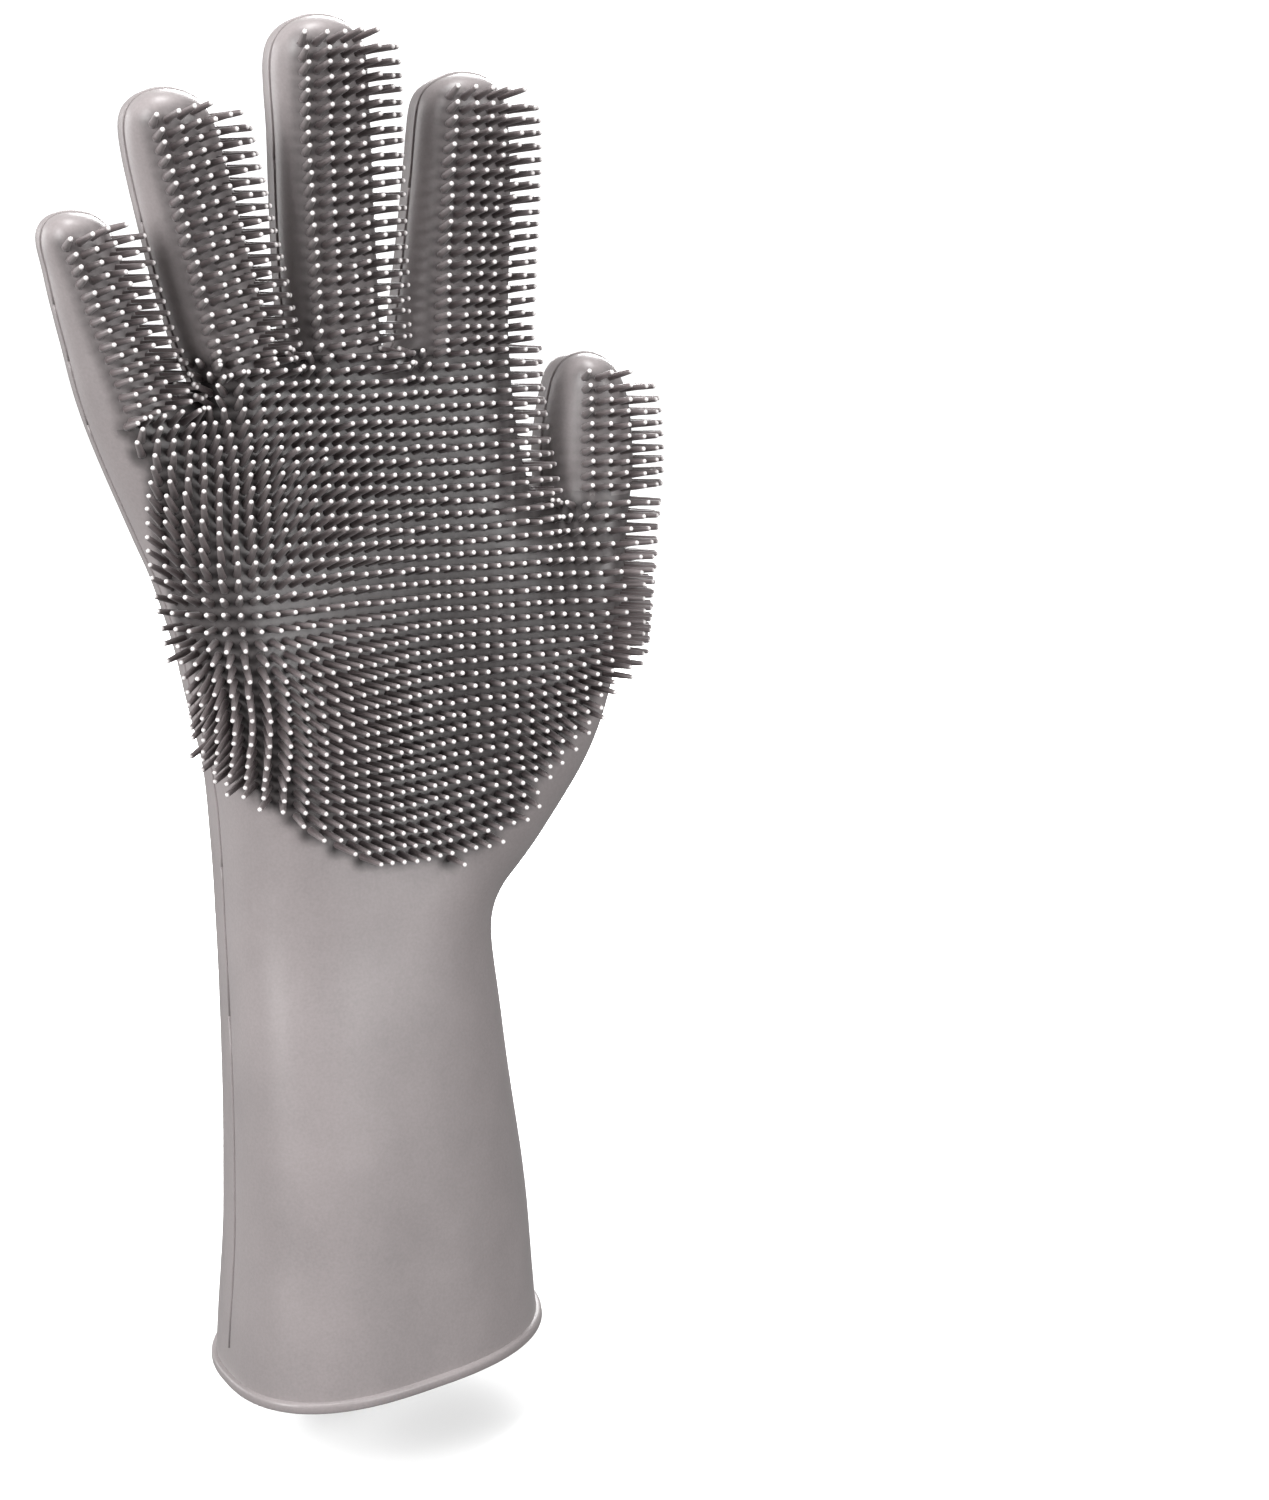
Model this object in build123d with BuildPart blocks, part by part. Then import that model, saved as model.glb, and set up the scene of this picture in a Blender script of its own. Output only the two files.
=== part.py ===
from build123d import *
import math
import os

# Silicone grooming glove for the right hand, worn upright: fingers point along +Z, the bristled palm faces -Y,
# the thumb is on the +X side.  The origin is the centre of the arm opening, in the plane of the cuff's rim.
# All lengths are in millimetres.  The real glove is one moulding; each bending zone of it is a piece here.

# ---- driving dimensions -------------------------------------------------------------------------------------
wall = 2.0            # silicone wall
bristle_len = 9.0     # free length of a bristle
rim_height = 5.0      # moulded bead round the arm opening
rim_proud = 1.2       # how far the bead stands out of the cuff
part_y = -1.0         # plane of the mould's parting line, front half to back half
tab_thick = 2.8
tab_hole_r = 3.5
tab_drop = 19.5       # how far the hanging tab reaches below the rim
tab_gap = 1.6         # neck between the rim and the stiff part of the tab
tab_x, tab_y = 1.3, 34.6
cut_gap = 0.4         # half of the free gap at each bending line

# cuff and palm sections: height, centre x, centre y, width, depth, corner radius, tilt about Y in degrees
sections = [
    (0.0, 1.3, 0.0, 90.4, 72.0, 33.0, 0.0),
    (60.0, -0.7, 0.0, 82.0, 66.0, 30.5, 0.0),
    (115.0, -3.2, 0.0, 73.0, 57.0, 26.5, 0.0),
    (140.0, 4.4, 0.0, 88.0, 49.0, 23.0, 0.0),
    (165.0, 10.4, 0.0, 106.0, 42.0, 19.5, 0.0),
    (190.0, 10.3, -0.5, 117.4, 38.0, 17.0, 0.0),
    (214.0, -0.5, -0.8, 109.0, 34.0, 15.5, 0.0),
    (236.0, -10.5, -1.0, 105.0, 29.0, 13.0, 3.0),
    (249.0, -13.5, -0.6, 103.0, 24.0, 11.0, 5.0),
    (257.0, -15.0, -0.6, 93.0, 15.0, 7.0, 6.0),
]
wrist_z = 116.0
wrist_flex, wrist_back = 40.0, 30.0

# digits: width of the bristled strip, foot z, top z, reference (x, y, z) on the axis, slopes dx/dz and dy/dz, foot and tip widths and depths,
# the thumb's widest section as (z, width, depth), bending lines as [z, flex degrees, backward degrees], direction in which the digit folds
digits = {
    "index": dict(pad=18.5, foot=236.0, top=334.0, ref=(23.6, -1.5, 266.0), sx=0.02, sy=-0.160, w=(25.0, 23.4), d=(22.5, 20.4),
                  joints=[(272.5, 60.0, 12.0), (295.0, 70.0, 0.0), (315.0, 42.0, 0.0)], fold=(0.0, -1.0)),
    "middle": dict(pad=19.0, foot=236.0, top=347.4, ref=(-6.9, -1.5, 266.0), sx=-0.089, sy=-0.175, w=(24.8, 24.0), d=(22.5, 20.4),
                   joints=[(273.5, 60.0, 12.0), (300.0, 70.0, 0.0), (323.0, 42.0, 0.0)], fold=(0.0, -1.0)),
    "ring": dict(pad=17.0, foot=234.0, top=330.8, ref=(-34.4, -1.5, 266.0), sx=-0.279, sy=-0.157, w=(23.0, 22.0), d=(21.5, 20.0),
                 joints=[(270.0, 60.0, 12.0), (291.0, 70.0, 0.0), (310.5, 42.0, 0.0)], fold=(0.0, -1.0)),
    "little": dict(pad=13.5, foot=226.0, top=302.8, ref=(-58.8, -1.1, 256.0), sx=-0.355, sy=-0.120, w=(24.0, 17.8), d=(20.5, 17.2),
                   joints=[(261.5, 55.0, 12.0), (275.5, 55.0, 0.0), (288.0, 33.0, 0.0)], fold=(0.0, -1.0)),
    "thumb": dict(pad=17.0, foot=186.0, top=264.2, ref=(59.8, -6.8, 215.0), sx=0.020, sy=-0.020, w=(17.0, 22.6), d=(18.0, 21.0),
                  belly=(212.0, 24.6, 23.0),
                  joints=[(231.0, 40.0, 10.0), (247.0, 50.0, 0.0)], fold=(-0.6, -0.8)),
}
segment_names = {3: ["root", "mid", "tip"], 2: ["root", "tip"]}

os.makedirs("parts", exist_ok=True)


def save(solid, name):
    solid.label = name
    export_step(solid, f"parts/{name}.step")


def section_plane(s):
    z, cx, cy, w, d, r, tilt = s
    a = math.radians(tilt)
    return Plane(origin=(cx, cy, z), x_dir=(math.cos(a), 0, math.sin(a)), z_dir=(-math.sin(a), 0, math.cos(a)))


# ---- cuff and palm, one lofted body: outer skin and inner skin --------------------------------------------------
with BuildPart() as body_outer:
    for s in sections:
        with BuildSketch(section_plane(s)):
            RectangleRounded(s[3], s[4], s[5])
    loft(ruled=True)

with BuildPart() as body_inner:
    for i, s in enumerate(sections):
        z = s[0] - (4.0 if i == 0 else 0.0) - (wall if i == len(sections) - 1 else 0.0)
        with BuildSketch(section_plane((z,) + s[1:])):
            RectangleRounded(s[3] - 2 * wall, s[4] - 2 * wall, s[5] - wall)
    loft(ruled=True)


def axis_point(g, z):
    return Vector(g["ref"][0] + g["sx"] * (z - g["ref"][2]), g["ref"][1] + g["sy"] * (z - g["ref"][2]), z)


def digit_plane(g, z):
    d = Vector(g["sx"], g["sy"], 1.0).normalized()
    return Plane(origin=axis_point(g, z), x_dir=(1, 0, -g["sx"]), z_dir=d)


def digit_solid(g, inset):
    """A digit's stall as a closed form, its tip rounded.  inset is 0 for the outer skin and the wall for the inner."""
    dz = 1.0 / math.sqrt(1 + g["sx"] ** 2 + g["sy"] ** 2)
    with BuildPart() as stall:
        with BuildSketch(digit_plane(g, g["foot"] - (0.0 if inset == 0 else 3.0))):
            RectangleRounded(g["w"][0] - 2 * inset, g["d"][0] - 2 * inset, 0.43 * g["d"][0] - inset)
        if "belly" in g:
            with BuildSketch(digit_plane(g, g["belly"][0])):
                RectangleRounded(g["belly"][1] - 2 * inset, g["belly"][2] - 2 * inset, 0.43 * g["belly"][2] - inset)
        with BuildSketch(digit_plane(g, g["top"] - inset * dz)):
            RectangleRounded(g["w"][1] - 2 * inset, g["d"][1] - 2 * inset, 0.46 * g["d"][1] - inset)
        loft(ruled=True)
        fillet(stall.faces().sort_by(Axis.Z)[-1].edges(), 0.42 * g["d"][1] - inset)
    return stall.part


def hinge_frame(g, z):
    """Plane through a bending line: its local x is the back of the digit, local y runs to the tip, local z is the hinge axis."""
    fx, fy = g["fold"]
    back = Vector(-fx, -fy, 0)
    axis = Vector(-fy, fx, 0)
    along = Vector(g["sx"], g["sy"], 1.0)
    along = (along - axis * along.dot(axis)).normalized()
    back = along.cross(axis)
    return Plane(origin=axis_point(g, z), x_dir=back, z_dir=axis)


def bend_wedge(frame, flex, backward, reach, half_width):
    """Prism that a bending zone takes out of the wall: open towards the fold side by flex, towards the back by backward."""
    front = math.tan(math.radians(flex / 2 + 1.5)) * reach + cut_gap
    rear = math.tan(math.radians(backward / 2 + 1.5)) * reach + cut_gap
    with BuildPart() as wedge:
        with BuildSketch(frame):
            Polygon((-reach, front), (-reach, -front), (0, -cut_gap), (reach, -rear), (reach, rear), (0, cut_gap),
                    align=None)
        extrude(amount=half_width, both=True)
    return wedge.part


# ---- digits ---------------------------------------------------------------------------------------------------
stub_outer, stub_inner = [], []
for name, g in digits.items():
    outer, inner = digit_solid(g, 0.0), digit_solid(g, wall)
    frames = [hinge_frame(g, z) for z, _, _ in g["joints"]]
    wedges = [bend_wedge(f, flex, back, 18.0, 26.0) for f, (_, flex, back) in zip(frames, g["joints"])]
    with BuildPart() as lower:
        add(outer)
        add(wedges[0], mode=Mode.SUBTRACT)
    stub_outer.append(lower.part.solids().sort_by(Axis.Z)[0])
    with BuildPart() as lower_in:
        add(inner)
        add(wedges[0], mode=Mode.SUBTRACT)
    stub_inner.append(lower_in.part.solids().sort_by(Axis.Z)[0])

    with BuildPart() as shell:
        add(outer)
        add(inner, mode=Mode.SUBTRACT)
    with BuildPart() as segments:
        add(shell.part)
        for w in wedges:
            add(w, mode=Mode.SUBTRACT)
    pieces = segments.part.solids().sort_by(Axis.Z)
    labels = segment_names[len(wedges)]
    for label, piece in zip(labels, pieces[1:]):
        save(piece, f"{name}_{label}_stall")

    crease_labels = ["knuckle"] + labels[1:]
    for label, w in zip(crease_labels, wedges):
        with BuildPart() as crease:
            add(shell.part)
            add(w, mode=Mode.INTERSECT)
        save(crease.part, f"{name}_{label}_crease")

    # the bristles on each segment, as the block of space they fill, with its base on the front of the stall
    bends = [z for z, _, _ in g["joints"]] + [g["top"]]
    for i, label in enumerate(labels):
        last = i == len(labels) - 1
        lo_z, hi_z = bends[i] + 1.0, bends[i + 1] - (4.0 if last else 1.0)
        foot_z, foot_d = (g["belly"][0], g["belly"][2]) if "belly" in g else (g["foot"], g["d"][0])
        depth = 0.5 * (foot_d + (g["d"][1] - foot_d) * (lo_z - foot_z) / (g["top"] - foot_z))
        along = Vector(g["sx"], g["sy"], 1.0).normalized()
        hinge = hinge_frame(g, lo_z).z_dir
        with BuildPart() as block:
            with BuildSketch(Plane(origin=axis_point(g, lo_z), x_dir=hinge, z_dir=along)):
                with Locations(Location((0, -(depth + bristle_len + 3.0) / 2))):
                    RectangleRounded(g["pad"], depth + bristle_len - 3.0, 2.5)
            extrude(amount=(axis_point(g, hi_z) - axis_point(g, lo_z)).length)
            add(outer, mode=Mode.SUBTRACT)
        save(block.part.solids().sort_by(SortBy.VOLUME)[-1], f"{name}_{label}_bristles")

# ---- whole shell: cuff, palm and the feet of the digits --------------------------------------------------------
with BuildPart() as skin_outer:
    add(body_outer.part)
    for s in stub_outer:
        add(s)
with BuildPart() as skin_inner:
    add(body_inner.part)
    for s in stub_inner:
        add(s)
with BuildPart() as skin:
    add(skin_outer.part)
    add(skin_inner.part, mode=Mode.SUBTRACT)

wrist_frame = Plane(origin=(0, 0, wrist_z), x_dir=(0, 1, 0), z_dir=(1, 0, 0))
wrist_wedge = bend_wedge(wrist_frame, wrist_flex, wrist_back, 45.0, 80.0)
with BuildPart() as halves:
    add(skin.part)
    add(wrist_wedge, mode=Mode.SUBTRACT)
cuff_tube, hand_tube = halves.part.solids().sort_by(Axis.Z)
with BuildPart() as wrist_crease:
    add(skin.part)
    add(wrist_wedge, mode=Mode.INTERSECT)
save(wrist_crease.part, "wrist_crease")

with BuildPart() as palm_shell:
    add(hand_tube)
    split(bisect_by=Plane(origin=(0, part_y, 0), z_dir=(0, -1, 0)), keep=Keep.TOP)
save(palm_shell.part, "palm_shell")
with BuildPart() as back_shell:
    add(hand_tube)
    split(bisect_by=Plane(origin=(0, part_y, 0), z_dir=(0, 1, 0)), keep=Keep.TOP)
save(back_shell.part, "back_of_hand_shell")
with BuildPart() as cuff_front:
    add(cuff_tube)
    split(bisect_by=Plane(origin=(0, part_y, 0), z_dir=(0, -1, 0)), keep=Keep.TOP)
save(cuff_front.part, "cuff_front_wall")
with BuildPart() as cuff_back:
    add(cuff_tube)
    split(bisect_by=Plane(origin=(0, part_y, 0), z_dir=(0, 1, 0)), keep=Keep.TOP)
save(cuff_back.part, "cuff_back_wall")

# ---- bristles of the palm, as the block of space they fill ------------------------------------------------------
palm_front = 0.5 * sections[5][4]
with BuildPart() as palm_bristles:
    with BuildSketch(Plane(origin=(0, -4.0, 0), x_dir=(1, 0, 0), z_dir=(0, -1, 0))):
        Polygon((-34, 134), (20, 132), (44, 146), (60, 166), (66, 190), (62, 208), (40, 224), (40, 250), (-36, 250),
                (-58, 240), (-56, 226), (-46, 190), (-40, 160), align=None)
    extrude(amount=palm_front + bristle_len + 1.0 - 4.0)
    fillet(palm_bristles.edges().filter_by(Axis.Y), 5.0)
    fillet(palm_bristles.faces().sort_by(Axis.Y)[0].edges(), 4.0)
    add(skin_outer.part, mode=Mode.SUBTRACT)
save(palm_bristles.part.solids().sort_by(SortBy.VOLUME)[-1], "palm_bristles")

# ---- rim bead, outside the cuff's wall --------------------------------------------------------------------------
r0 = sections[0]
with BuildPart() as rim_bead:
    with BuildSketch(Plane(origin=(r0[1], r0[2], 0), x_dir=(1, 0, 0), z_dir=(0, 0, 1))):
        RectangleRounded(r0[3] + 2 * rim_proud, r0[4] + 2 * rim_proud, r0[5] + rim_proud)
    extrude(amount=rim_height)
    fillet(rim_bead.edges().group_by(Axis.Z)[-1], 1.0)
    add(body_outer.part, mode=Mode.SUBTRACT)
save(rim_bead.part.solids().sort_by(SortBy.VOLUME)[-1], "rim_bead")

# ---- hanging tab with its hole, and the thin neck it bends at ---------------------------------------------------
tab_plane = Plane(origin=(tab_x, tab_y, 0), x_dir=(1, 0, 0), z_dir=(0, -1, 0))
hole_z = -tab_drop + 8.0
with BuildPart() as hanging_tab:
    with BuildSketch(tab_plane):
        with BuildLine():
            l1 = Line((-13.5, -tab_gap), (13.5, -tab_gap))
            l2 = Line((13.5, -tab_gap), (6.0, hole_z - 3.0))
            l3 = ThreePointArc((6.0, hole_z - 3.0), (0, -tab_drop), (-6.0, hole_z - 3.0))
            l4 = Line((-6.0, hole_z - 3.0), (-13.5, -tab_gap))
        make_face()
        with Locations((0, hole_z)):
            Circle(tab_hole_r, mode=Mode.SUBTRACT)
    extrude(amount=tab_thick / 2, both=True)
save(hanging_tab.part, "hanging_tab")

with BuildPart() as tab_neck:
    with BuildSketch(tab_plane):
        Polygon((-14.5, 0), (14.5, 0), (13.5, -tab_gap), (-13.5, -tab_gap), align=None)
    extrude(amount=tab_thick / 2, both=True)
save(tab_neck.part, "tab_neck")
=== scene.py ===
import bpy
import math
import numpy as np
from mathutils import Matrix, Vector
from mathutils.kdtree import KDTree


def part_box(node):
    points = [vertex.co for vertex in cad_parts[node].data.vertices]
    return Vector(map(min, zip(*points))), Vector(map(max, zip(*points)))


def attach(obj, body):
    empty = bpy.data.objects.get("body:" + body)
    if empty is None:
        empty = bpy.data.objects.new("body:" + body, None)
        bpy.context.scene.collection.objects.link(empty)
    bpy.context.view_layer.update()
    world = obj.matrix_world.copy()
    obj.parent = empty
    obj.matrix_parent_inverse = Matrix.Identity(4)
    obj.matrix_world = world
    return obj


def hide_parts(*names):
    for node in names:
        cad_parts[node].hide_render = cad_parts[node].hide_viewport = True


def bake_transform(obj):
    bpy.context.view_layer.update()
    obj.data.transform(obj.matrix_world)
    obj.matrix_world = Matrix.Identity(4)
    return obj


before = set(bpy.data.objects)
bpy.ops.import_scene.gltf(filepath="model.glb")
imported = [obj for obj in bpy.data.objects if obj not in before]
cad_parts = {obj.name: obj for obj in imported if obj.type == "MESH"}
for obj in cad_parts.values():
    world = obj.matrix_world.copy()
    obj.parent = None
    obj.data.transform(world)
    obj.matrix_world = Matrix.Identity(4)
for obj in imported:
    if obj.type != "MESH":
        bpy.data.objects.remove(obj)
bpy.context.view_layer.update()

# ------------------------------------------------------------------------------------------------------------------
# Lengths here are in millimetres until a mesh is made, then in metres.
# The outline of the glove seen square on to the palm, as (x, z), up the little finger's side and down the thumb's.
# ------------------------------------------------------------------------------------------------------------------
OUTLINE = [
    (-46.0, 1.1), (-44.2, 46.9), (-42.7, 88.2), (-41.1, 128.5), (-40.8, 143.0), (-41.2, 154.9), (-42.6, 165.0),
    (-44.9, 174.8), (-46.9, 184.0), (-48.8, 193.1), (-51.5, 202.7), (-54.7, 212.5), (-57.9, 220.2), (-61.5, 229.1),
    (-65.6, 239.2), (-69.3, 249.1), (-72.4, 259.0), (-75.0, 269.8), (-77.7, 280.6), (-79.5, 288.8), (-80.9, 294.7),
    (-80.6, 298.6), (-78.5, 301.5), (-75.2, 302.8), (-70.9, 302.7), (-66.8, 301.5), (-63.7, 298.6), (-61.7, 294.3),
    (-60.2, 288.6), (-57.8, 280.5), (-54.7, 271.7), (-51.5, 264.4), (-48.3, 258.8), (-45.8, 256.0), (-43.5, 256.4),
    (-43.7, 259.8), (-45.2, 263.5), (-47.9, 269.7), (-50.6, 278.3), (-53.3, 287.5), (-55.8, 297.0), (-58.1, 305.7),
    (-60.2, 314.2), (-61.3, 321.1), (-60.7, 325.6), (-58.1, 328.8), (-54.6, 330.4), (-50.5, 330.8), (-46.1, 329.9),
    (-42.4, 328.0), (-39.3, 324.8), (-37.1, 319.9), (-35.2, 313.4), (-32.6, 305.1), (-30.1, 295.5), (-27.7, 286.6),
    (-25.5, 277.7), (-23.9, 270.3), (-22.6, 267.3), (-20.8, 267.0), (-20.0, 269.7), (-20.6, 274.1), (-21.4, 282.0),
    (-22.4, 294.1), (-23.3, 306.1), (-24.4, 320.2), (-25.6, 329.5), (-26.2, 336.4), (-25.3, 341.4), (-22.3, 345.1),
    (-18.4, 346.9), (-13.7, 347.4), (-8.8, 346.5), (-4.8, 344.2), (-2.0, 340.6), (-0.4, 334.1), (0.8, 324.7),
    (2.0, 312.8), (3.1, 300.7), (4.2, 288.4), (5.0, 276.0), (5.7, 269.0), (7.1, 265.9), (8.7, 267.6), (9.2, 272.1),
    (10.0, 280.8), (10.8, 290.7), (11.4, 300.5), (11.9, 311.4), (12.1, 320.3), (12.5, 325.8), (14.0, 329.6),
    (17.3, 332.2), (21.4, 333.8), (25.6, 334.0), (30.0, 333.1), (33.8, 330.7), (36.3, 326.6), (38.0, 319.5),
    (39.1, 309.7), (39.8, 299.8), (40.1, 289.8), (40.3, 279.6), (40.7, 269.4), (41.4, 260.4), (42.4, 251.4),
    (43.5, 243.0), (45.0, 235.2), (46.7, 229.4), (48.4, 228.0), (49.2, 230.9), (48.9, 236.1), (49.2, 242.1),
    (49.8, 248.1), (50.7, 253.8), (51.6, 257.9), (53.4, 261.3), (56.0, 263.3), (59.5, 264.2), (63.6, 263.3),
    (67.4, 260.8), (70.2, 256.8), (72.2, 250.4), (73.2, 242.4), (73.4, 233.2), (72.2, 224.0), (70.4, 213.5),
    (69.4, 202.6), (69.4, 191.3), (68.6, 181.5), (65.8, 171.5), (61.5, 161.5), (56.7, 152.4), (51.2, 143.3),
    (45.8, 135.1), (40.9, 128.7), (37.0, 124.0), (34.9, 119.8), (34.2, 115.4), (34.5, 109.8), (35.5, 102.8),
    (37.2, 92.6), (39.1, 80.0), (41.4, 65.1), (43.6, 50.1), (45.3, 35.0), (46.4, 19.8), (47.5, 6.0), (48.7, -1.8),
]
WALL = 1.9
BRISTLE = 8.6
CUFF_SHRINK, HAND_SHRINK = 1.7, 0.7     # the moulding's true edge lies this far inside the outline

# digit: axis reference (x, y, z), slopes dx/dz and dy/dz, lateral reach, [(start, end) of each bending zone along z on the axis]
DIGITS = {
    "index": dict(ref=(23.6, -1.5, 266.0), sx=0.02, sy=-0.160, reach=16.0, zones=[(267.5, 282.5), (285.5, 304.0), (306.0, 323.0)],
                  names=["root", "mid", "tip"], edge=10.4, depth=(11.4, 10.2), top=334.0),
    "middle": dict(ref=(-6.9, -1.5, 266.0), sx=-0.089, sy=-0.175, reach=15.0, zones=[(268.5, 284.0), (288.0, 311.0), (313.0, 332.0)],
                   names=["root", "mid", "tip"], edge=10.6, depth=(11.4, 10.4), top=347.0),
    "ring": dict(ref=(-34.4, -1.5, 266.0), sx=-0.279, sy=-0.157, reach=14.0, zones=[(264.5, 278.5), (281.5, 300.0), (301.5, 319.0)],
                 names=["root", "mid", "tip"], edge=9.8, depth=(11.0, 10.0), top=330.0),
    "little": dict(ref=(-58.8, -1.1, 256.0), sx=-0.355, sy=-0.120, reach=14.0, zones=[(254.0, 267.5), (268.8, 281.5), (282.0, 293.5)],
                   names=["root", "mid", "tip"], edge=8.8, depth=(10.2, 8.8), top=302.0),
    "thumb": dict(ref=(59.8, -6.8, 215.0), sx=0.020, sy=-0.020, reach=16.0, zones=[(228.5, 239.0), (240.0, 254.5)],
                  names=["root", "tip"], edge=10.2, depth=(11.6, 10.4), top=264.0),
}


def smooth(t):
    t = np.clip(t, 0, 1)
    return t * t * (3 - 2 * t)


def interp(v, pairs):
    xs, ys = zip(*pairs)
    return np.interp(v, xs, ys)


# ---- plan fields on a fine grid: distance in from the edge, edge radius, half-depths, mid-surface ------------------
GX0, GX1, GZ0, GZ1, GS = -96.0, 92.0, -24.0, 362.0, 0.5
gx = np.arange(GX0, GX1 + GS / 2, GS)
gz = np.arange(GZ0, GZ1 + GS / 2, GS)
PX, PZ = np.meshgrid(gx, gz, indexing="ij")


def catmull(pts, n):
    pts = np.array(pts, float)
    out = []
    for i in range(len(pts) - 1):
        p0, p1, p2, p3 = pts[max(i - 1, 0)], pts[i], pts[i + 1], pts[min(i + 2, len(pts) - 1)]
        for k in range(n):
            t = k / n
            out.append(0.5 * (2 * p1 + (p2 - p0) * t + (2 * p0 - 5 * p1 + 4 * p2 - p3) * t ** 2
                              + (3 * p1 - p0 - 3 * p2 + p3) * t ** 3))
    out.append(pts[-1])
    return np.array(out)


rim_l, rim_r = OUTLINE[0], OUTLINE[-1]
line = catmull(OUTLINE, 3)
line = np.vstack([[rim_l[0] - 1.0, -70.0], line, [rim_r[0] + 1.5, -70.0]])


def edge_distance(x, z):
    """Distance in from the outline, positive inside."""
    a, b = line, np.roll(line, -1, axis=0)
    best = np.full(x.shape, 1e9)
    inside = np.zeros(x.shape, bool)
    for (ax, az), (bx, bz) in zip(a, b):
        dx, dz = bx - ax, bz - az
        t = np.clip(((x - ax) * dx + (z - az) * dz) / (dx * dx + dz * dz), 0, 1)
        best = np.minimum(best, (x - ax - t * dx) ** 2 + (z - az - t * dz) ** 2)
        if az != bz:
            cross = (az > z) != (bz > z)
            inside ^= cross & (x < ax + (z - az) * dx / dz)
    return np.where(inside, 1, -1) * np.sqrt(best)


def blur(a, sigma):
    """Gaussian blur of a plan field, sigma in mm."""
    s = sigma / GS
    n = int(3 * s) + 1
    k = np.exp(-0.5 * (np.arange(-n, n + 1) / s) ** 2)
    k /= k.sum()
    for axis in (0, 1):
        p = np.pad(a, [(n, n) if i == axis else (0, 0) for i in (0, 1)], mode="edge")
        a = sum(w * (p[i:i + a.shape[0], :] if axis == 0 else p[:, i:i + a.shape[1]]) for i, w in enumerate(k))
    return a


S = edge_distance(PX, PZ)
S = S - (CUFF_SHRINK + (HAND_SHRINK - CUFF_SHRINK) * smooth((PZ - 90) / 70)) + 1.9 * (1 - smooth(PZ / 45)) * smooth((14 - PX) / 28)
S = blur(S, 0.7)

# half-width and centre of the cuff at each height
inside = S > 0
left = np.array([gx[np.argmax(inside[:, k])] if inside[:, k].any() else 0 for k in range(len(gz))])
right = np.array([gx[len(gx) - 1 - np.argmax(inside[::-1, k])] if inside[:, k].any() else 0 for k in range(len(gz))])
half = (right - left) / 2
centre_x = (right + left) / 2


def digit_field(default, value):
    """Plan field that is value(digit, along) on each digit and default elsewhere."""
    out = default.copy()
    for name, g in DIGITS.items():
        zz = PZ
        lateral = PX - (g["ref"][0] + g["sx"] * (zz - g["ref"][2]))
        along = (zz - g["zones"][0][0]) / (g["top"] - g["zones"][0][0])
        on = (np.abs(lateral) < g["reach"]) & (zz > g["zones"][0][0] - (8 if name != "thumb" else 14) + np.abs(lateral) * 0.0)
        out = np.where(on, value(g, along), out)
    return out


cuff_r = 0.97 * np.interp(gz, gz, half)
base_r = np.where(PZ < 105, cuff_r[None, :], 0)
wrist_r = cuff_r[int((105 - GZ0) / GS)]
base_r = np.where(PZ >= 105, wrist_r + (20.0 - wrist_r) * smooth((PZ - 105) / 50), base_r)
base_r = np.where(PZ > 225, 20.0 + (14.0 - 20.0) * smooth((PZ - 225) / 30), base_r)
side_l = smooth((-14 - PX) / 18) * smooth((PZ - 132) / 24) * smooth((250 - PZ) / 20)
side_r = smooth((PX - 34) / 16) * smooth((PZ - 140) / 22)
base_r = base_r * (1 - side_l) + 16.5 * side_l
base_r = base_r * (1 - side_r) + 13.5 * side_r
R = blur(digit_field(base_r, lambda g, t: g["edge"] + 0 * t), 5.0)

depth_b = interp(PZ, [(-30, 36.5), (0, 35.0), (60, 32.0), (100, 29.0), (120, 26.8), (140, 24.0), (165, 20.5), (190, 18.0), (215, 16.5),
                      (235, 14.5), (250, 12.8), (262, 11.6), (400, 10.5)])
depth_f = interp(PZ, [(-30, 39.0), (0, 38.0), (60, 33.2), (100, 29.2), (120, 26.5), (140, 24.5), (165, 21.0), (190, 18.0), (215, 16.5),
                      (235, 15.0), (250, 13.4), (262, 11.8), (400, 10.5)])


def bump(cx, cz, sx, sz, h):
    return h * np.exp(-0.5 * (((PX - cx) / sx) ** 2 + ((PZ - cz) / sz) ** 2))


digit_d = lambda g, t: g["depth"][0] + (g["depth"][1] - g["depth"][0]) * np.clip(t, 0, 1)
HB = blur(digit_field(depth_b, digit_d), 5.0)
HF = blur(digit_field(depth_f, digit_d), 5.0)
HF = HF + bump(-30, 176, 17, 23, 5.0) + bump(48, 182, 18, 24, 5.0) - bump(4, 182, 13, 30, 2.2)
HB = HB - bump(30, 215, 14, 14, 1.2)
PF = blur(digit_field(interp(PZ, [(0, 2.5), (100, 2.7), (150, 2.3), (400, 2.3)]), lambda g, t: 2.35 + 0 * t), 5.0)
PB = blur(digit_field(interp(PZ, [(0, 2.4), (110, 2.4), (170, 2.6), (400, 2.6)]), lambda g, t: 3.0 + 0 * t), 5.0)

CUFF_YAW = 0.25
YC = -0.0011 * np.maximum(PZ - 225, 0) ** 2 - 7.0 * smooth((PX - 38) / 26) * smooth((PZ - 175) / 40)
YC = YC + CUFF_YAW * (PX - centre_x[None, :]) * (1 - smooth((PZ - 60) / 90)) * 0.75
YC = blur(YC, 2.0)


def sample(field, x, z):
    u = np.clip((x - GX0) / GS, 0, len(gx) - 1.001)
    v = np.clip((z - GZ0) / GS, 0, len(gz) - 1.001)
    i, j = u.astype(int), v.astype(int)
    fu, fv = u - i, v - j
    return (field[i, j] * (1 - fu) * (1 - fv) + field[i + 1, j] * fu * (1 - fv)
            + field[i, j + 1] * (1 - fu) * fv + field[i + 1, j + 1] * fu * fv)


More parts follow.
